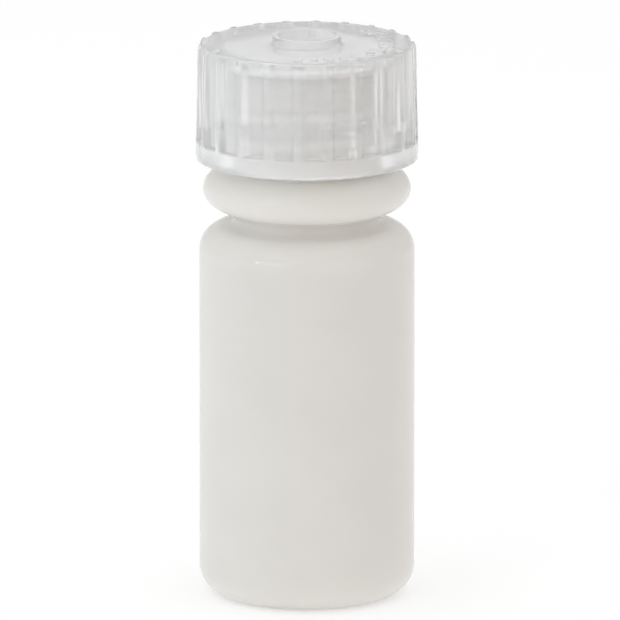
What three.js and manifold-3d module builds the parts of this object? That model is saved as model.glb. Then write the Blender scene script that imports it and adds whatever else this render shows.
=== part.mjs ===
// A small narrow-mouth reagent bottle with a ribbed screw cap and a seal liner.
// Units are millimetres. +Z is up, and the origin is the middle of the face the bottle stands on.
import * as THREE from 'three';
import { mergeVertices } from 'three/addons/utils/BufferGeometryUtils.js';
import Module from 'manifold-3d';

const wasm = await Module();
wasm.setup();

// Driving dimensions of the bottle
const BODY_RADIUS = 12.5;
const BODY_WALL = 1.2;
const FLOOR_THICKNESS = 1.6;
const BASE_CORNER = 3.5;
const STANDING_RING_INNER = 6.2;
const PUSH_UP = 0.8;
const SHOULDER_TOP = 43.8;
const SHOULDER_CORNER = 3.0;
const WAIST_RADIUS = 8.55;
const BEAD_RADIUS = 12.05;
const BEAD_DEPTH = 3.2;
const BEAD_MIDDLE = 48.1;
const BEAD_HALF_HEIGHT = 2.45;
const NECK_RADIUS = 8.65;
const MOUTH_TOP = 63.0;
const BORE_RADIUS = 6.3;
const LIP_CHAMFER = 0.4;

// Thread: right-handed, eight turns to the inch, with the same ridge on the neck and in the cap
const PITCH = 3.175;
const THREAD_DEPTH = 1.1;
const THREAD_ROOT_WIDTH = 1.6;
const THREAD_CREST_WIDTH = 0.75;
const THREAD_START = 54.1;
const THREAD_START_TURN = 0.5;
const NECK_THREAD_TURNS = 2.15;
const CAP_THREAD_LATER = 0.25;
const CAP_THREAD_TURNS = 1.75;
const FLANK_CLEARANCE = 0.2;
const FADE_TURNS = 1 / 6;
const BURIED = 0.4;

// Driving dimensions of the cap
const CAP_BOTTOM = 51.7;
const CAP_TOP = 65.2;
const CAP_RADIUS = 12.1;
const CAP_BORE_RADIUS = 10.1;
const CAP_EDGE_CHAMFER = 0.2;
const BAND_RADIUS = 12.9;
const BAND_HEIGHT = 2.3;
const RIM_CHAMFER = 0.25;
const LEDGE_CHAMFER = 0.25;
const RIB_COUNT = 22;
const RIB_PHASE = 0.2;
const RIB_RADIUS = 0.7;
const RIB_CENTRE_TOP = 12.0;
const RIB_CENTRE_BOTTOM = 12.15;
const COLLAR_RADIUS = 4.05;
const COLLAR_INNER_RADIUS = 3.4;
const COLLAR_HEIGHT = 0.95;
const COLLAR_FLOOR_DROP = 0.3;

// The liner lies between the lip of the bottle and the top plate of the cap
const LINER_THICKNESS = 0.9;
const LINER_RADIUS = 9.8;
const SEAT_GAP = 0.1;

const ROUND_SEGMENTS = 2 * RIB_COUNT;
const ARC_STEPS = 2;
const THREAD_STEPS_PER_TURN = 36;

// A solid for joining and cutting, from a closed three.js geometry
function solidFrom(geometry) {
  const bare = geometry.index ? geometry.toNonIndexed() : geometry.clone();
  bare.deleteAttribute('normal');
  bare.deleteAttribute('uv');
  const merged = mergeVertices(bare, 1e-4);
  const mesh = new wasm.Mesh({
    numProp: 3,
    vertProperties: new Float32Array(merged.attributes.position.array),
    triVerts: new Uint32Array(merged.index.array),
  });
  mesh.merge();
  return new wasm.Manifold(mesh);
}

function geometryFrom(solid) {
  const mesh = solid.getMesh();
  const geometry = new THREE.BufferGeometry();
  geometry.setAttribute('position', new THREE.BufferAttribute(mesh.vertProperties, 3));
  geometry.setIndex(new THREE.BufferAttribute(mesh.triVerts, 1));
  geometry.computeVertexNormals();
  return geometry;
}

// Turns an outline of (radius, height) points about the Z axis
function turned(outline) {
  const geometry = new THREE.LatheGeometry(outline.getPoints(ARC_STEPS), ROUND_SEGMENTS);
  geometry.rotateX(Math.PI / 2);
  return solidFrom(geometry);
}

// A rounded corner from the last point of the outline, centred on (r, z)
function corner(outline, r, z, radius, from, to) {
  outline.absarc(r, z, radius, THREE.MathUtils.degToRad(from), THREE.MathUtils.degToRad(to), to < from);
}

// A helical ridge with a trapezium section. Its foot is buried in the wall, and at both ends
// its crest sinks into the wall too, so the thread runs out without a step.
function helicalRidge({ wallRadius, outward, startZ, startTurn, turns }) {
  const flankSlope = (THREAD_ROOT_WIDTH - THREAD_CREST_WIDTH) / 2 / THREAD_DEPTH;
  const footHalf = THREAD_ROOT_WIDTH / 2 + flankSlope * BURIED;
  const crestHalf = THREAD_CREST_WIDTH / 2;
  const section = new THREE.Shape([
    new THREE.Vector2(-BURIED, -footHalf),
    new THREE.Vector2(THREAD_DEPTH, -crestHalf),
    new THREE.Vector2(THREAD_DEPTH, crestHalf),
    new THREE.Vector2(-BURIED, footHalf),
  ]);
  const steps = Math.round(turns * THREAD_STEPS_PER_TURN);
  const bar = new THREE.ExtrudeGeometry(section, { depth: turns, steps, bevelEnabled: false });
  const position = bar.attributes.position;
  for (let i = 0; i < position.count; i += 1) {
    const along = position.getZ(i);
    const fade = Math.min(1, along / FADE_TURNS, (turns - along) / FADE_TURNS);
    const sunk = THREE.MathUtils.lerp(-BURIED / 2, THREAD_DEPTH, fade);
    const radius = wallRadius + outward * Math.min(position.getX(i), sunk);
    const angle = (startTurn + along) * 2 * Math.PI;
    const z = startZ + along * PITCH - outward * position.getY(i);
    position.setXYZ(i, radius * Math.cos(angle), radius * Math.sin(angle), z);
  }
  return solidFrom(bar);
}

// How far the cap's ridge lies below the neck's, so that its upper flank almost bears on it
function ridgeSpacing() {
  const flankSlope = (THREAD_ROOT_WIDTH - THREAD_CREST_WIDTH) / 2 / THREAD_DEPTH;
  return THREAD_ROOT_WIDTH - flankSlope * (CAP_BORE_RADIUS - NECK_RADIUS) + FLANK_CLEARANCE;
}

// Part of the bead's oval section, between two angles from its widest point
function beadQuarter(outline, from, to) {
  outline.absellipse(BEAD_RADIUS - BEAD_DEPTH, BEAD_MIDDLE, BEAD_DEPTH, BEAD_HALF_HEIGHT, from, to);
}

function bottle() {
  const outline = new THREE.Path();
  const inside = BODY_RADIUS - BODY_WALL;
  const innerCorner = BASE_CORNER - BODY_WALL;
  const innerShoulder = SHOULDER_TOP - BODY_WALL;
  const waistRound = (BEAD_MIDDLE - BEAD_HALF_HEIGHT - SHOULDER_TOP) / 2;
  outline.moveTo(0, PUSH_UP);
  outline.lineTo(STANDING_RING_INNER - PUSH_UP, PUSH_UP);
  outline.lineTo(STANDING_RING_INNER, 0);
  outline.lineTo(BODY_RADIUS - BASE_CORNER, 0);
  corner(outline, BODY_RADIUS - BASE_CORNER, BASE_CORNER, BASE_CORNER, -90, 0);
  outline.lineTo(BODY_RADIUS, SHOULDER_TOP - SHOULDER_CORNER);
  corner(outline, BODY_RADIUS - SHOULDER_CORNER, SHOULDER_TOP - SHOULDER_CORNER, SHOULDER_CORNER, 0, 90);
  corner(outline, WAIST_RADIUS + waistRound, SHOULDER_TOP + waistRound, waistRound, -90, -180);
  beadQuarter(outline, -1.25, 0);
  beadQuarter(outline, 0, Math.PI / 2);
  outline.lineTo(NECK_RADIUS, BEAD_MIDDLE + BEAD_HALF_HEIGHT);
  outline.lineTo(NECK_RADIUS, MOUTH_TOP - LIP_CHAMFER);
  outline.lineTo(NECK_RADIUS - LIP_CHAMFER, MOUTH_TOP);
  outline.lineTo(BORE_RADIUS + LIP_CHAMFER, MOUTH_TOP);
  outline.lineTo(BORE_RADIUS, MOUTH_TOP - LIP_CHAMFER);
  outline.lineTo(BORE_RADIUS, SHOULDER_TOP);
  outline.lineTo(BORE_RADIUS + BODY_WALL, innerShoulder);
  corner(outline, inside - SHOULDER_CORNER, innerShoulder - SHOULDER_CORNER, SHOULDER_CORNER, 90, 0);
  corner(outline, inside - innerCorner, FLOOR_THICKNESS + innerCorner, innerCorner, 0, -90);
  outline.lineTo(STANDING_RING_INNER, FLOOR_THICKNESS);
  outline.lineTo(STANDING_RING_INNER - PUSH_UP, FLOOR_THICKNESS + PUSH_UP);
  outline.lineTo(0, FLOOR_THICKNESS + PUSH_UP);
  const thread = helicalRidge({
    wallRadius: NECK_RADIUS,
    outward: 1,
    startZ: THREAD_START,
    startTurn: THREAD_START_TURN,
    turns: NECK_THREAD_TURNS,
  });
  return turned(outline).add(thread);
}

function sealLiner() {
  const outline = new THREE.Path();
  const bottom = MOUTH_TOP + SEAT_GAP;
  outline.moveTo(0, bottom);
  outline.lineTo(LINER_RADIUS, bottom);
  outline.lineTo(LINER_RADIUS, bottom + LINER_THICKNESS);
  outline.lineTo(0, bottom + LINER_THICKNESS);
  return turned(outline);
}

// One grip rib: a round bar with a domed top, leaning out slightly towards the band
function gripRib(index) {
  const foot = CAP_BOTTOM + BAND_HEIGHT - RIB_RADIUS / 2;
  const head = CAP_TOP - RIB_RADIUS - 0.1;
  const length = head - foot;
  const rib = new THREE.CapsuleGeometry(RIB_RADIUS, length, 2, 10);
  rib.rotateX(Math.PI / 2);
  rib.rotateY(-Math.atan2(RIB_CENTRE_BOTTOM - RIB_CENTRE_TOP, length));
  rib.translate((RIB_CENTRE_TOP + RIB_CENTRE_BOTTOM) / 2, 0, (foot + head) / 2);
  rib.rotateZ(((index + RIB_PHASE) / RIB_COUNT) * 2 * Math.PI);
  return solidFrom(rib);
}

function screwCap() {
  const outline = new THREE.Path();
  const bandTop = CAP_BOTTOM + BAND_HEIGHT;
  const plateUnderside = MOUTH_TOP + LINER_THICKNESS + 2 * SEAT_GAP;
  outline.moveTo(0, plateUnderside);
  outline.lineTo(CAP_BORE_RADIUS, plateUnderside);
  outline.lineTo(CAP_BORE_RADIUS, CAP_BOTTOM + LEDGE_CHAMFER);
  outline.lineTo(CAP_BORE_RADIUS + LEDGE_CHAMFER, CAP_BOTTOM);
  outline.lineTo(BAND_RADIUS - RIM_CHAMFER, CAP_BOTTOM);
  outline.lineTo(BAND_RADIUS, CAP_BOTTOM + RIM_CHAMFER);
  outline.lineTo(BAND_RADIUS, bandTop - LEDGE_CHAMFER);
  outline.lineTo(CAP_RADIUS, bandTop + LEDGE_CHAMFER);
  outline.lineTo(CAP_RADIUS, CAP_TOP - CAP_EDGE_CHAMFER);
  outline.lineTo(CAP_RADIUS - CAP_EDGE_CHAMFER, CAP_TOP);
  outline.lineTo(COLLAR_RADIUS, CAP_TOP);
  outline.lineTo(COLLAR_RADIUS, CAP_TOP + COLLAR_HEIGHT);
  outline.lineTo(COLLAR_INNER_RADIUS, CAP_TOP + COLLAR_HEIGHT);
  outline.lineTo(COLLAR_INNER_RADIUS, CAP_TOP - COLLAR_FLOOR_DROP);
  outline.lineTo(0, CAP_TOP - COLLAR_FLOOR_DROP);
  const thread = helicalRidge({
    wallRadius: CAP_BORE_RADIUS,
    outward: -1,
    startZ: THREAD_START - ridgeSpacing() + CAP_THREAD_LATER * PITCH,
    startTurn: THREAD_START_TURN + CAP_THREAD_LATER,
    turns: CAP_THREAD_TURNS,
  });
  let cap = turned(outline).add(thread);
  for (let i = 0; i < RIB_COUNT; i += 1) {
    cap = cap.add(gripRib(i));
  }
  return cap;
}

function piece(name, solid, colour, roughness, opacity) {
  const material = new THREE.MeshStandardMaterial({ color: colour, roughness, metalness: 0 });
  material.transparent = opacity < 1;
  material.opacity = opacity;
  const mesh = new THREE.Mesh(geometryFrom(solid), material);
  mesh.name = name;
  return mesh;
}

const reagentBottle = new THREE.Group();
reagentBottle.add(piece('bottle', bottle(), 0xe4e4e0, 0.45, 0.9));
reagentBottle.add(piece('seal_liner', sealLiner(), 0xf0f0ee, 0.7, 1));
reagentBottle.add(piece('screw_cap', screwCap(), 0xe8e9ea, 0.25, 0.55));

export default reagentBottle;
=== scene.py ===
# %% [markdown]
# # A small reagent bottle
#
# This lesson builds the looks of a narrow-mouth laboratory bottle around a finished mechanical model.
# The real thing is two plastic mouldings and a soft disc: a milky bottle, a nearly clear screw cap with
# ribs for the fingers, and a foam liner that seals the lip.
#
# The mechanical model is loaded first. It says how big everything is and what moves with what, so the
# pieces made here only have to be finer and better looking than the ones they stand for.

# %% Load the mechanical model
import math

import bmesh
import bpy
from mathutils import Matrix, Vector


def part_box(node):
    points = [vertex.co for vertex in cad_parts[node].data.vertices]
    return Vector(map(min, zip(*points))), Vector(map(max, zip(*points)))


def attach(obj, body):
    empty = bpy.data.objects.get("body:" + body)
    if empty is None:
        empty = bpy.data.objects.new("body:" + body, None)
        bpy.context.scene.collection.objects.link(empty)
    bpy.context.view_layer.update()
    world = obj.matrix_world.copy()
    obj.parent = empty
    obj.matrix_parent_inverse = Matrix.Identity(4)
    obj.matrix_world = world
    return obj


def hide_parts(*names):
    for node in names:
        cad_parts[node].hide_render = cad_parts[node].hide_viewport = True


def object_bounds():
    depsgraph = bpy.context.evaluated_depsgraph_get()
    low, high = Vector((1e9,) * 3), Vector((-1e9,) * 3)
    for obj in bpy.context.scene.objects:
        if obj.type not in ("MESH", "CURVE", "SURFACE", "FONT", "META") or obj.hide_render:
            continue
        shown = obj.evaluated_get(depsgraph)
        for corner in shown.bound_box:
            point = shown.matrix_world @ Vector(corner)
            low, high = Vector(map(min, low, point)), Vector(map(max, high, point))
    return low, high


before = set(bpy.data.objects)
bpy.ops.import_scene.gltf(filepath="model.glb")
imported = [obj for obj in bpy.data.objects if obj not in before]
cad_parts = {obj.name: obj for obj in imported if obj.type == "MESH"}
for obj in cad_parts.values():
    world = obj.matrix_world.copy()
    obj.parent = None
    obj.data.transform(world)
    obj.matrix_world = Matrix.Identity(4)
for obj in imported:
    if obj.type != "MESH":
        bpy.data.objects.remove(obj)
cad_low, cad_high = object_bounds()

MM = 0.001


def in_mm(corner):
    """A corner of the mechanical model, from metres to millimetres."""
    return corner / MM


bottle_low, bottle_high = map(in_mm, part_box("bottle"))
cap_low, cap_high = map(in_mm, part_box("screw_cap"))
liner_low, liner_high = map(in_mm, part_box("seal_liner"))
print(f"bottle {2 * bottle_high.x:.1f} mm wide and {bottle_high.z:.1f} mm tall")
print(f"cap {2 * cap_high.x:.1f} mm wide, from {cap_low.z:.1f} to {cap_high.z:.1f} mm")

# %% [markdown]
# ## A pen for outlines
#
# Every piece here is round, so each starts as an outline: one half of its section, drawn out from the
# axis. A lathe profile could be typed in as a long list of points. It is easier to read, and easier to
# change, as a pen that moves: `line` goes straight, and `arc` swings the pen about a centre.
#
# Both are operators. `extrude_vert_indiv` pulls a new vertex out of the last one, and `spin` with a
# single vertex leaves an arc of edges behind it. An oval arc is a round one that is stretched sideways
# about its own centre.

# %% The outline pen
class Outline:
    """Draws half of a section in the XZ plane, in millimetres."""

    def __init__(self, radius, height):
        self.wire = bmesh.new()
        self.tip = self.wire.verts.new((radius, 0, height))

    def line(self, radius, height, steps=1):
        """Straight on to a new radius and height."""
        stride = (Vector((radius, 0, height)) - self.tip.co) / steps
        for _ in range(steps):
            made = bmesh.ops.extrude_vert_indiv(self.wire, verts=[self.tip])
            self.tip = made["verts"][0]
            bmesh.ops.translate(self.wire, verts=[self.tip], vec=stride)

    def arc(self, radius, height, degrees, steps, stretch=1.0):
        """Swings about a centre. Positive degrees go from outwards towards upwards."""
        middle = Matrix.Translation((-radius, 0, -height))
        start = self.tip
        bmesh.ops.scale(self.wire, verts=[start], vec=(1 / stretch, 1, 1), space=middle)
        made = bmesh.ops.spin(
            self.wire, geom=[start], cent=(radius, 0, height), axis=(0, -1, 0),
            angle=math.radians(degrees), steps=steps,
        )
        self.tip = made["geom_last"][0]
        self.wire.verts.ensure_lookup_table()
        swung = [start] + self.wire.verts[-steps:]
        bmesh.ops.scale(self.wire, verts=swung, vec=(stretch, 1, 1), space=middle)


# %% [markdown]
# ## Turning an outline
#
# One full spin about the Z axis makes the skin. `use_merge` closes the seam where the last step meets
# the first. Points on the axis are turned into a heap of vertices in one place, so doubles are merged,
# and only then are the normals made to point outwards.

# %% The lathe
def turned(outline, steps):
    """Spins an outline round the Z axis into a closed skin."""
    skin = outline.wire
    bmesh.ops.spin(
        skin, geom=skin.verts[:] + skin.edges[:], cent=(0, 0, 0), axis=(0, 0, 1),
        angle=math.tau, steps=steps, use_merge=True,
    )
    bmesh.ops.remove_doubles(skin, verts=skin.verts, dist=0.0005)
    bmesh.ops.recalc_face_normals(skin, faces=skin.faces)
    return skin


def new_piece(name, skin):
    """An object from a mesh drawn in millimetres. The mesh is still in millimetres."""
    data = bpy.data.meshes.new(name)
    skin.to_mesh(data)
    skin.free()
    piece = bpy.data.objects.new(name, data)
    bpy.context.scene.collection.objects.link(piece)
    return piece


# %% [markdown]
# ## The bottle
#
# The bottle is blown in a mould, so its wall is thin and even and every corner is round. From the
# bottom up: a push-up keeps the base off the bench and leaves a ring to stand on, a straight body, a
# round shoulder, a narrow waist, a fat bead that stops the cap and gives the fingers a hold, and a
# straight neck. The outline goes up the outside, over the lip, and down the inside.

# %% Sizes of the bottle, in millimetres
body_radius = bottle_high.x
mouth = bottle_high.z
wall = 1.2
floor_top = 1.6
push_up = 0.8
base_corner = 3.5
shoulder_top = 43.8
shoulder_corner = 3.0
waist_radius = 8.55
bead_middle = 48.1
bead_half_height = 2.45
bead_depth = 3.2
bead_centre = 8.85
neck_radius = 8.65
bore_radius = 6.3
lip_round = 0.4
neck_foot_round = 0.2
print(f"the cavity is {2 * (body_radius - wall):.1f} mm wide")

# %% [markdown]
# The base has its own small sizes. A nub is left where the mould pinched the plastic, in the middle of
# the push-up. The edge of the push-up turns down to the standing ring in two arcs that share a slope.

# %% Sizes under the base, in millimetres
nub_radius = 0.65
nub_height = 0.2
nub_round = 0.15
push_up_edge = 4.9
push_up_round = 0.7
ring_round_radius = 6.286
ring_round_height = 0.9
ring_slope = 60
dome_foot = 6.3
dome_edge = 5.3
print(f"the bottle stands on a ring from {2 * ring_round_radius:.1f} mm across outwards")


# %% The bottle's outline
def bottle_outline():
    inside = body_radius - wall
    inner_corner = base_corner - wall
    inner_shoulder = shoulder_top - wall
    waist_round = (bead_middle - bead_half_height - shoulder_top) / 2
    bead_start = -72
    nub_tip = push_up - nub_height
    pen = Outline(0, nub_tip)
    pen.line(nub_radius - nub_round, nub_tip)
    pen.arc(nub_radius - nub_round, nub_tip + nub_round, 90, 4)
    pen.line(nub_radius, push_up)
    pen.line(push_up_edge, push_up, 4)
    pen.arc(push_up_edge, push_up - push_up_round, -ring_slope, 5)
    pen.arc(ring_round_radius, ring_round_height, ring_slope, 5)
    pen.line(body_radius - base_corner, 0, 3)
    pen.arc(body_radius - base_corner, base_corner, 90, 14)
    pen.line(body_radius, shoulder_top - shoulder_corner, 24)
    pen.arc(body_radius - shoulder_corner, shoulder_top - shoulder_corner, 90, 14)
    pen.line(waist_radius + waist_round, shoulder_top)
    pen.arc(waist_radius + waist_round, shoulder_top + waist_round, -160, 14)
    radians = math.radians(bead_start)
    pen.line(
        bead_centre + bead_depth * math.cos(radians),
        bead_middle + bead_half_height * math.sin(radians),
        2,
    )
    pen.arc(bead_centre, bead_middle, 90 - bead_start, 28, bead_depth / bead_half_height)
    pen.arc(bead_centre, bead_middle + bead_half_height + neck_foot_round, -90, 4)
    pen.line(neck_radius, mouth - lip_round, 4)
    pen.arc(neck_radius - lip_round, mouth - lip_round, 90, 5)
    pen.line(bore_radius + lip_round, mouth, 2)
    pen.arc(bore_radius + lip_round, mouth - lip_round, 90, 5)
    pen.line(bore_radius, shoulder_top, 4)
    pen.arc(bore_radius + wall, shoulder_top, 90, 6)
    pen.line(inside - shoulder_corner, inner_shoulder, 2)
    pen.arc(inside - shoulder_corner, inner_shoulder - shoulder_corner, -90, 10)
    pen.line(inside, floor_top + inner_corner, 12)
    pen.arc(inside - inner_corner, floor_top + inner_corner, -90, 8)
    pen.line(dome_foot, floor_top, 2)
    pen.line(dome_edge, floor_top + push_up, 2)
    pen.line(0, floor_top + push_up, 3)
    return pen


bottle = new_piece("bottle_blown", turned(bottle_outline(), 176))
print("bottle skin:", len(bottle.data.polygons), "faces")

# %% [markdown]
# ## Screw threads
#
# A thread is a ridge that climbs as it goes round, the same distance in every turn: the pitch. The
# operator for it is `spin` again, this time with a lift, `dvec`, at each step, so the section is
# carried up a helix. At both ends the ridge sinks into the wall instead of stopping with a blunt face.
#
# The neck and the cap use the same section. The neck's ridge stands outwards and the cap's inwards,
# and the cap's lies a little lower, where it pulls up against the neck's when the cap is tight. Both
# climb anticlockwise seen from above, which makes the thread right-handed.

# %% Sizes of the thread, in millimetres
pitch = 3.175
thread_depth = 1.1
thread_root_width = 1.6
thread_crest_width = 0.75
thread_start = 54.1
thread_start_turn = 0.5
buried = 0.4
crest_round = 0.28
fade_turns = 1 / 6
cap_bore = 10.1
flank_slope = (thread_root_width - thread_crest_width) / 2 / thread_depth
flank_clearance = 0.2
ridge_spacing = thread_root_width - flank_slope * (cap_bore - neck_radius) + flank_clearance
print(f"the cap's thread lies {ridge_spacing:.2f} mm under the neck's")


# %% A ridge on a helix
def thread_ridge(wall_radius, outward, start_height, start_turn, turns, steps_per_turn=88):
    """A rounded ridge round the Z axis, standing outwards (1) or inwards (-1) from a wall."""
    ridge = bmesh.new()
    foot = thread_root_width / 2 + flank_slope * buried
    crest = thread_crest_width / 2
    start = math.tau * start_turn
    corners = [
        ridge.verts.new((wall_radius + outward * rise, 0, start_height + half))
        for rise, half in ((-buried, -foot), (thread_depth, -crest), (thread_depth, crest), (-buried, foot))
    ]
    ridge.faces.new(corners)
    bmesh.ops.bevel(
        ridge, geom=corners[1:3], offset=crest_round, segments=4, profile=0.5,
        affect="VERTICES", material=-1,
    )
    bmesh.ops.rotate(ridge, verts=ridge.verts, cent=(0, 0, 0), matrix=Matrix.Rotation(start, 3, "Z"))
    steps = round(turns * steps_per_turn)
    bmesh.ops.spin(
        ridge, geom=ridge.verts[:] + ridge.edges[:] + ridge.faces[:], cent=(0, 0, 0), axis=(0, 0, 1),
        dvec=(0, 0, pitch / steps_per_turn), angle=math.tau * steps / steps_per_turn, steps=steps,
    )
    for vert in ridge.verts:
        turn = math.atan2(vert.co.y, vert.co.x) / math.tau
        climbed = (vert.co.z - start_height) / pitch
        along = turn - start_turn + round(climbed - (turn - start_turn))
        fade = max(0, min(1, along / fade_turns, (turns - along) / fade_turns))
        highest = wall_radius + outward * (thread_depth * fade - 0.5 * buried * (1 - fade))
        radius = math.hypot(vert.co.x, vert.co.y)
        sunk = min(outward * radius, outward * highest) * outward
        vert.co.x *= sunk / radius
        vert.co.y *= sunk / radius
    bmesh.ops.recalc_face_normals(ridge, faces=ridge.faces)
    return ridge


# %% [markdown]
# Two closed shapes that pass through each other aren't one moulding yet. A Boolean modifier set to
# Union joins them and takes away what lies inside, which matters here because the plastic lets light
# in. The modifier is applied at once, so the piece that is left is plain mesh.

# %% Joining shapes into one moulding
def join_to(piece, skin):
    """Adds a closed shape to a piece, so that the two are one solid."""
    tool = new_piece("tool", skin)
    union = piece.modifiers.new("union", "BOOLEAN")
    union.operation = "UNION"
    union.solver = "MANIFOLD"
    union.object = tool
    depsgraph = bpy.context.evaluated_depsgraph_get()
    joined = bpy.data.meshes.new_from_object(piece.evaluated_get(depsgraph))
    old = piece.data
    piece.modifiers.clear()
    piece.data = joined
    bpy.data.meshes.remove(old)
    bpy.data.objects.remove(tool)


def finish_mesh(piece, sharp_degrees):
    """Turns millimetres into metres, and shades smooth except across sharp edges."""
    piece.data.transform(Matrix.Scale(MM, 4))
    piece.data.shade_smooth()
    piece.data.set_sharp_from_angle(angle=math.radians(sharp_degrees))
    piece.data.update()


join_to(bottle, thread_ridge(neck_radius, 1, thread_start, thread_start_turn, 2.15))
finish_mesh(bottle, 40)
print("bottle with thread:", len(bottle.data.polygons), "faces")

# %% [markdown]
# ## The cap
#
# The cap is injection-moulded, so it can have crisp detail: a plate, a skirt with a plain band at its
# foot, and a small hollow collar in the middle of the top where the plastic was let into the mould.
# The outline starts under the plate, goes down the bore, round the rim, up the outside and across the
# top.

# %% Sizes of the cap, in millimetres
cap_bottom = cap_low.z
band_radius = 12.9
band_top = cap_bottom + 2.3
skirt_radius = 12.1
plate_top = 65.2
plate_under = liner_high.z + 0.1
edge_round = 0.18
head_round = 0.8
collar_top = cap_high.z
collar_radius = 4.05
collar_bore = 3.4
collar_floor = 64.9
rib_count = 22
rib_phase = 0.2
steps_per_rib = 20
print(f"the skirt is {skirt_radius - cap_bore:.1f} mm thick between the ribs")

# %% Small rounds of the cap, in millimetres
bore_corner = 0.5
mouth_round = 0.3
rim_round = 0.2
ledge_rise = 0.05
ledge_reach = 0.25
collar_foot_round = 0.4
collar_lip_round = 0.15
collar_floor_round = 0.25
pip_foot = 0.6
pip_radius = 0.45
pip_height = 0.12


# %% The cap's outline
def cap_outline():
    pen = Outline(0, plate_under)
    pen.line(cap_bore - bore_corner, plate_under, 3)
    pen.arc(cap_bore - bore_corner, plate_under - bore_corner, -90, 5)
    pen.line(cap_bore, cap_bottom + mouth_round, 4)
    pen.arc(cap_bore + mouth_round, cap_bottom + mouth_round, 90, 4)
    pen.line(band_radius - rim_round, cap_bottom, 2)
    pen.arc(band_radius - rim_round, cap_bottom + rim_round, 90, 4)
    pen.line(band_radius, band_top - ledge_reach, 3)
    pen.arc(band_radius - rim_round, band_top - ledge_reach, 90, 4)
    pen.line(skirt_radius + rim_round, band_top + ledge_rise, 2)
    pen.arc(skirt_radius + rim_round, band_top + ledge_reach, -90, 4)
    pen.line(skirt_radius, plate_top - head_round, 8)
    pen.line(skirt_radius, plate_top - edge_round, 10)
    pen.arc(skirt_radius - edge_round, plate_top - edge_round, 90, 3)
    pen.line(collar_radius + collar_foot_round, plate_top, 6)
    pen.arc(collar_radius + collar_foot_round, plate_top + collar_foot_round, -90, 5)
    pen.line(collar_radius, collar_top - collar_lip_round)
    pen.arc(collar_radius - collar_lip_round, collar_top - collar_lip_round, 90, 4)
    pen.line(collar_bore + collar_lip_round, collar_top)
    pen.arc(collar_bore + collar_lip_round, collar_top - collar_lip_round, 90, 4)
    pen.line(collar_bore, collar_floor + collar_floor_round)
    pen.arc(collar_bore - collar_floor_round, collar_floor + collar_floor_round, -90, 4)
    pen.line(pip_foot, collar_floor, 3)
    pen.line(pip_radius, collar_floor + pip_height)
    pen.line(0, collar_floor + pip_height)
    return pen


# %% [markdown]
# ## The grip ribs
#
# The wall is spun smooth first, with a whole number of steps to each rib. Then each rib is raised out
# of it: a vertex moves outwards by how near it is to the middle of a rib. The rib's section is a
# rounded bar with a soft foot, `1 / (1 + (x / half width) ** squareness)`, so it has no hard crease
# where it meets the wall, as a moulded rib has none. Near the top the rib dies away along a quarter
# circle, so it ends in a dome that stands just outside the crisp edge of the plate.

# %% Raise the ribs
rib_height = 0.58
rib_lean = 0.2
rib_half_width = 0.62
rib_squareness = 5
rib_above_plate = 0.08
dome_fullness = 0.7
touching = 0.01


def rib_share(angle):
    """How much of a rib stands at this angle: 1 on its middle, and 0 between ribs."""
    turns = angle / math.tau * rib_count - rib_phase
    aside = abs(turns - round(turns)) / rib_count * math.tau * skirt_radius
    return 1 / (1 + (aside / rib_half_width) ** rib_squareness)


def raise_ribs(skin):
    head_start = plate_top - head_round
    lift_top = head_round + rib_above_plate
    for vert in skin.verts:
        radius = math.hypot(vert.co.x, vert.co.y)
        height = vert.co.z
        if radius < skirt_radius - touching or height < band_top - rim_round:
            continue
        down = max(0, (head_start - height) / (head_start - band_top))
        share = rib_share(math.atan2(vert.co.y, vert.co.x))
        lift = (rib_height + rib_lean * down) * share
        outwards = Vector((vert.co.x, vert.co.y)).normalized()
        if height > head_start:
            swing = (height - head_start) / head_round * math.pi / 2
            lift *= max(0.0, math.cos(swing)) ** dome_fullness
            vert.co.z += share * (head_start + lift_top * math.sin(swing) - height)
        vert.co.xy = outwards * max(radius, skirt_radius + lift)


cap_skin = turned(cap_outline(), rib_count * steps_per_rib)
raise_ribs(cap_skin)
bmesh.ops.recalc_face_normals(cap_skin, faces=cap_skin.faces)
cap = new_piece("cap_moulded", cap_skin)
print("cap skin:", len(cap.data.polygons), "faces")

# %% The cap's thread
cap_thread_later = 0.25
join_to(
    cap,
    thread_ridge(
        cap_bore, -1, thread_start - ridge_spacing + cap_thread_later * pitch,
        thread_start_turn + cap_thread_later, 1.75,
    ),
)
print("cap with thread:", len(cap.data.polygons), "faces")

# %% [markdown]
# ## Marks on the top
#
# A moulder's cap carries small raised marks: a ring with the number of its cavity, and ticks. Here
# they are plain shapes that say nothing. Each one is a few operators: a circle that is inset for a
# ring, or a cube with its edges bevelled for a tick, and each is sunk a little into the plate so that
# the union has something to hold.

# %% Raised marks
mark_height = 0.22
mark_sink = 0.2
mark_tall = mark_height + mark_sink
ring_line = 0.5
tick_width = 1.0
tick_spacing = 10.5


def raised_ring(x, y, outer):
    """A low ring on the plate."""
    ring = bmesh.new()
    bmesh.ops.create_circle(ring, cap_ends=True, radius=outer, segments=48)
    line = bmesh.ops.inset_region(ring, faces=ring.faces[:], thickness=ring_line)
    middle = [face for face in ring.faces if face not in line["faces"]]
    bmesh.ops.delete(ring, geom=middle, context="FACES_ONLY")
    raised = bmesh.ops.extrude_face_region(ring, geom=ring.faces[:])
    top = [item for item in raised["geom"] if isinstance(item, bmesh.types.BMVert)]
    bmesh.ops.translate(ring, verts=top, vec=(0, 0, mark_tall))
    bmesh.ops.translate(ring, verts=ring.verts, vec=(x, y, plate_top - mark_sink))
    bmesh.ops.recalc_face_normals(ring, faces=ring.faces)
    return ring


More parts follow.
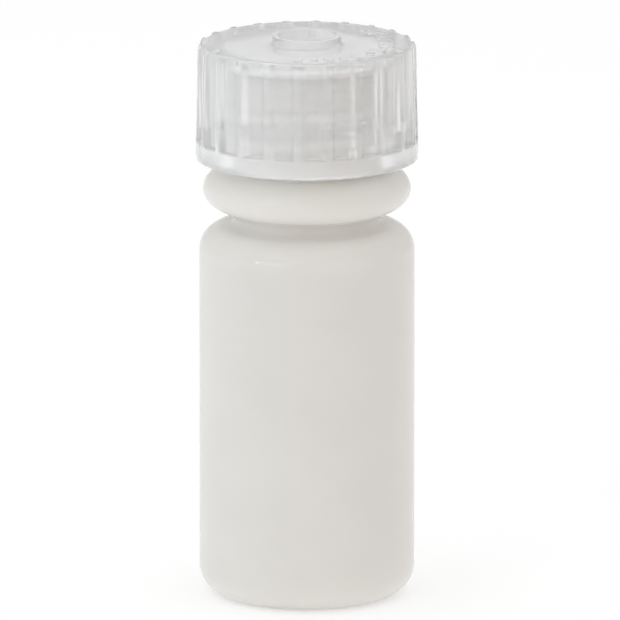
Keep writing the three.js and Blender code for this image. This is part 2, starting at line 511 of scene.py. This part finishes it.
def raised_tick(radius, degrees, across):
    """A low bar on the plate, lying along the circle at this radius."""
    tick = bmesh.new()
    bmesh.ops.create_cube(tick, size=1)
    bmesh.ops.scale(tick, verts=tick.verts, vec=(across, tick_width, mark_tall))
    upright = [
        edge for edge in tick.edges if abs(edge.verts[0].co.z - edge.verts[1].co.z) > mark_tall / 2
    ]
    bmesh.ops.bevel(
        tick, geom=upright, offset=min(tick_width, across) * 0.4, segments=3, profile=0.5,
        affect="EDGES", material=-1,
    )
    bmesh.ops.translate(tick, verts=tick.verts, vec=(radius, 0, plate_top - mark_sink + mark_tall / 2))
    turn = Matrix.Rotation(math.radians(degrees), 3, "Z")
    bmesh.ops.rotate(tick, verts=tick.verts, cent=(0, 0, 0), matrix=turn)
    return tick


for mark in (raised_ring(-7.7, 2.8, 2.7), raised_ring(-7.7, 2.8, 1.1)):
    join_to(cap, mark)
for step in range(5):
    join_to(cap, raised_tick(9.8, -96 + tick_spacing * step, 2.0 - step % 2))
for step in range(9):
    join_to(cap, raised_tick(9.3, -38 + tick_spacing * step, 1.0 + step % 2))
finish_mesh(cap, 40)
print("cap with marks:", len(cap.data.polygons), "faces")

# %% [markdown]
# ## The seal liner
#
# A disc of white foam, pushed up into the cap behind the thread. Its edge is slightly rounded where it
# was punched out of the sheet, and the lip of the bottle has pressed a shallow ring into its underside.

# %% The liner
def liner_outline():
    low, high, radius = liner_low.z, liner_high.z, liner_high.x
    pressed = 0.06
    press_edge = 0.2
    press_flat = 0.5
    cut_round = 0.15
    pen = Outline(0, low)
    pen.line(bore_radius + press_edge, low, 3)
    pen.line(bore_radius + press_flat, low + pressed, 2)
    pen.line(neck_radius - press_flat, low + pressed, 2)
    pen.line(neck_radius - press_edge, low, 2)
    pen.line(radius - cut_round, low, 2)
    pen.arc(radius - cut_round, low + cut_round, 90, 4)
    pen.line(radius, high - cut_round, 2)
    pen.arc(radius - cut_round, high - cut_round, 90, 4)
    pen.line(0, high, 6)
    return pen


liner = new_piece("liner_foam", turned(liner_outline(), 96))
finish_mesh(liner, 50)
print("liner:", len(liner.data.polygons), "faces")

# %% [markdown]
# ## Materials
#
# Each material is a small function. The helper below makes the shader and the noise that every finish
# here needs: one texture on Object coordinates, so its grain is the same size all round the piece.

# %% A shader and its noise
def new_shader(name):
    """A material with one Principled shader, and its coordinates."""
    material = bpy.data.materials.new(name)
    material.use_nodes = True
    nodes = material.node_tree.nodes
    shader = nodes["Principled BSDF"]
    where = nodes.new("ShaderNodeTexCoord")
    return material, shader, where


def noise(material, where, size_mm, detail=3.0, stretch=(1, 1, 1)):
    """Noise with lumps about this many millimetres across."""
    links = material.node_tree.links
    place = material.node_tree.nodes.new("ShaderNodeMapping")
    place.inputs["Scale"].default_value = stretch
    links.new(where.outputs["Object"], place.inputs["Vector"])
    texture = material.node_tree.nodes.new("ShaderNodeTexNoise")
    texture.inputs["Scale"].default_value = 1 / (size_mm * MM)
    texture.inputs["Detail"].default_value = detail
    links.new(place.outputs["Vector"], texture.inputs["Vector"])
    return texture.outputs["Fac"]


def between(material, value, low, high):
    """Spreads a noise value over a range of numbers."""
    spread = material.node_tree.nodes.new("ShaderNodeMapRange")
    spread.inputs["From Min"].default_value = 0.3
    spread.inputs["From Max"].default_value = 0.7
    spread.inputs["To Min"].default_value = low
    spread.inputs["To Max"].default_value = high
    material.node_tree.links.new(value, spread.inputs["Value"])
    return spread.outputs["Result"]


def tinted(material, value, first, second):
    """Mixes two colours by a noise value."""
    ramp = material.node_tree.nodes.new("ShaderNodeValToRGB")
    ramp.color_ramp.elements[0].position = 0.35
    ramp.color_ramp.elements[1].position = 0.65
    ramp.color_ramp.elements[0].color = (*first, 1)
    ramp.color_ramp.elements[1].color = (*second, 1)
    material.node_tree.links.new(value, ramp.inputs["Fac"])
    return ramp.outputs["Color"]


def bumped(material, value, depth_mm, under=None):
    """A bump this deep, laid over another one if there is one."""
    bump = material.node_tree.nodes.new("ShaderNodeBump")
    bump.inputs["Strength"].default_value = 1.0
    bump.inputs["Distance"].default_value = depth_mm * MM
    material.node_tree.links.new(value, bump.inputs["Height"])
    if under is not None:
        material.node_tree.links.new(under, bump.inputs["Normal"])
    return bump.outputs["Normal"]


# %% [markdown]
# Both plastics let light through, and a thin wall of milk throws only a pale shadow. Rays that look for
# a lamp are told so: for them alone the surface is a tinted Transparent shader. A ray that goes through
# one wall crosses two surfaces, so the tint counts twice.

# %% A pale shadow
def pale_shadow(material, shader, tint):
    """Lets this much light past each surface, on its way from a lamp."""
    nodes, links = material.node_tree.nodes, material.node_tree.links
    past = nodes.new("ShaderNodeBsdfTransparent")
    past.inputs["Color"].default_value = (tint, tint, tint, 1)
    ray = nodes.new("ShaderNodeLightPath")
    choice = nodes.new("ShaderNodeMixShader")
    links.new(ray.outputs["Is Shadow Ray"], choice.inputs["Fac"])
    links.new(shader.outputs["BSDF"], choice.inputs[1])
    links.new(past.outputs["BSDF"], choice.inputs[2])
    links.new(choice.outputs["Shader"], nodes["Material Output"].inputs["Surface"])


# %% [markdown]
# ### Milky bottle plastic
#
# Natural polyethylene is white because light wanders about inside it before it comes out again, and
# that is what subsurface scattering is for. Some of the light goes right through a wall this thin, so
# the shader also transmits, with a surface far too rough to see through. The skin has a low satin
# shine. It is never quite flat: a blown wall has slow waves from cooling, a fine orange peel from the
# mould, and rubbed places that are a little duller.

# %% Bottle plastic
def bottle_plastic():
    material, shader, where = new_shader("bottle_plastic")
    links = material.node_tree.links
    cloud = noise(material, where, 9.0, 2.0)
    links.new(
        tinted(material, cloud, (0.80, 0.78, 0.745), (0.82, 0.80, 0.765)), shader.inputs["Base Color"]
    )
    shader.subsurface_method = "RANDOM_WALK"
    shader.inputs["Subsurface Weight"].default_value = 1.0
    shader.inputs["Subsurface Radius"].default_value = (1.0, 1.0, 0.95)
    shader.inputs["Subsurface Scale"].default_value = 2.0 * MM
    shader.inputs["Transmission Weight"].default_value = 0.15
    shader.inputs["IOR"].default_value = 1.5
    rubbed = noise(material, where, 4.0, 6.0)
    links.new(between(material, rubbed, 0.42, 0.52), shader.inputs["Roughness"])
    shader.inputs["Specular IOR Level"].default_value = 0.1
    shader.inputs["Coat Weight"].default_value = 0.5
    shader.inputs["Coat Roughness"].default_value = 0.07
    waves = bumped(material, noise(material, where, 7.0, 1.0, (1, 1, 0.5)), 0.06)
    peel = bumped(material, noise(material, where, 0.35, 2.0), 0.002, waves)
    links.new(peel, shader.inputs["Normal"])
    pale_shadow(material, shader, 0.9)
    return material


# %% [markdown]
# ### Clear cap plastic
#
# Natural polypropylene in a thin moulding is nearly clear with a slight haze. The shader is mostly
# transmission. What isn't clear is scattered inside as milk, and a little roughness blurs what is
# behind it. Flow lines from the mould and fine scratches break up its shine.

# %% Cap plastic
def cap_plastic():
    material, shader, where = new_shader("cap_plastic")
    links = material.node_tree.links
    cloud = noise(material, where, 3.0, 2.0)
    links.new(
        tinted(material, cloud, (0.945, 0.945, 0.945), (0.965, 0.965, 0.965)), shader.inputs["Base Color"]
    )
    shader.inputs["Transmission Weight"].default_value = 0.68
    shader.inputs["IOR"].default_value = 1.49
    hazy = noise(material, where, 2.0, 5.0)
    links.new(between(material, hazy, 0.05, 0.09), shader.inputs["Roughness"])
    flow = bumped(material, noise(material, where, 2.5, 2.0, (1, 1, 0.3)), 0.02)
    fine = bumped(material, noise(material, where, 0.25, 3.0), 0.001, flow)
    links.new(fine, shader.inputs["Normal"])
    pale_shadow(material, shader, 0.94)
    return material


# %% [markdown]
# ### Liner foam
#
# The foam is matt and white, with cells a few tenths of a millimetre across. Voronoi cells make the
# pits of the cut sheet.

# %% Liner foam
def liner_foam():
    material, shader, where = new_shader("liner_foam")
    links = material.node_tree.links
    cloud = noise(material, where, 2.5, 3.0)
    links.new(
        tinted(material, cloud, (0.84, 0.84, 0.83), (0.90, 0.90, 0.89)), shader.inputs["Base Color"]
    )
    links.new(between(material, cloud, 0.7, 0.85), shader.inputs["Roughness"])
    cells = material.node_tree.nodes.new("ShaderNodeTexVoronoi")
    cells.inputs["Scale"].default_value = 1 / (0.3 * MM)
    links.new(where.outputs["Object"], cells.inputs["Vector"])
    links.new(bumped(material, cells.outputs["Distance"], 0.03), shader.inputs["Normal"])
    return material


# %% [markdown]
# ## Pieces take their places
#
# Each piece gets its finish, rides on the body it belongs to, and stands for the plain solid of the
# mechanical model, which then isn't shown.

# %% Finish, ride and replace
for piece, finish, body, node, slot in (
    (bottle, bottle_plastic(), "bottle", "bottle", "bottle_plastic"),
    (liner, liner_foam(), "liner", "seal_liner", "liner_foam"),
    (cap, cap_plastic(), "cap", "screw_cap", "cap_plastic"),
):
    piece.data.materials.clear()
    piece.data.materials.append(finish)
    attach(piece, body)
    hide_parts(node)

# %% [markdown]
# ## Floor, light and camera
#
# A pale bench goes on for ever, with a faint glow of its own like a light table, so nothing behind
# the bottle is darker than white. Light for pale plastic is soft and comes from all round, as it does
# inside a white tent: the world gives most of it, a panel overhead a little more. A cool lamp on the
# left leaves thin streaks on the bead and shoulder, and a warm one on the right tints the body slowly
# round to that side.

# %% Floor
def pale_floor():
    slab = bmesh.new()
    bmesh.ops.create_grid(slab, x_segments=1, y_segments=1, size=6)
    data = bpy.data.meshes.new("floor")
    slab.to_mesh(data)
    slab.free()
    floor = bpy.data.objects.new("floor", data)
    bpy.context.scene.collection.objects.link(floor)
    material, shader, _ = new_shader("floor_paper")
    shader.inputs["Base Color"].default_value = (1, 1, 1, 1)
    shader.inputs["Roughness"].default_value = 0.9
    shader.inputs["Emission Color"].default_value = (1, 1, 1, 1)
    shader.inputs["Emission Strength"].default_value = 0.08
    data.materials.append(material)


pale_floor()


# %% Lights
def panel(name, azimuth, elevation, distance, width, height, power, colour):
    """A flat soft light that faces the bottle. Azimuth 0 is at the front, and 90 on the right."""
    lamp = bpy.data.lights.new(name, "AREA")
    lamp.shape = "RECTANGLE"
    lamp.size = width
    lamp.size_y = height
    lamp.energy = power
    lamp.color = colour
    holder = bpy.data.objects.new(name, lamp)
    bpy.context.scene.collection.objects.link(holder)
    side, up = math.radians(azimuth), math.radians(elevation)
    away = Vector((math.sin(side) * math.cos(up), -math.cos(side) * math.cos(up), math.sin(up)))
    middle = (cad_low + cad_high) / 2
    holder.location = middle + away * distance
    holder.rotation_euler = away.to_track_quat("Z", "Y").to_euler()


panel("overhead", 180, 82, 0.9, 1.4, 1.2, 3.2, (1.0, 1.0, 1.0))
panel("key_left", -44, 16, 0.9, 0.5, 0.06, 0.8, (0.80, 0.93, 1.0))
panel("streak_high", -40, 45, 0.9, 0.3, 0.06, 0.5, (1.0, 1.0, 1.0))
panel("warm_right", 30, -4, 0.9, 0.5, 0.5, 0.6, (1.0, 0.55, 0.25))

world = bpy.data.worlds.new("studio")
world.use_nodes = True
world.node_tree.nodes["Background"].inputs["Color"].default_value = (1, 1, 1, 1)
world.node_tree.nodes["Background"].inputs["Strength"].default_value = 0.66
bpy.context.scene.world = world
bpy.context.scene.view_settings.view_transform = "Standard"


# %% [markdown]
# The camera stands well back with a long lens, a little above the bottle, so the sides stay almost
# parallel and the top of the cap shows as a flat oval.

# %% Camera
def long_lens_camera():
    camera = bpy.data.cameras.new("camera")
    camera.sensor_width = 36
    camera.lens = 1253
    camera.clip_end = 20
    holder = bpy.data.objects.new("camera", camera)
    bpy.context.scene.collection.objects.link(holder)
    above = math.radians(12.89)
    distance = 2.505
    middle = Vector((0.35, 0, 33.5)) * MM
    back = Vector((0, -math.cos(above), math.sin(above)))
    holder.location = middle + back * distance
    holder.rotation_euler = back.to_track_quat("Z", "Y").to_euler()
    bpy.context.scene.camera = holder


long_lens_camera()
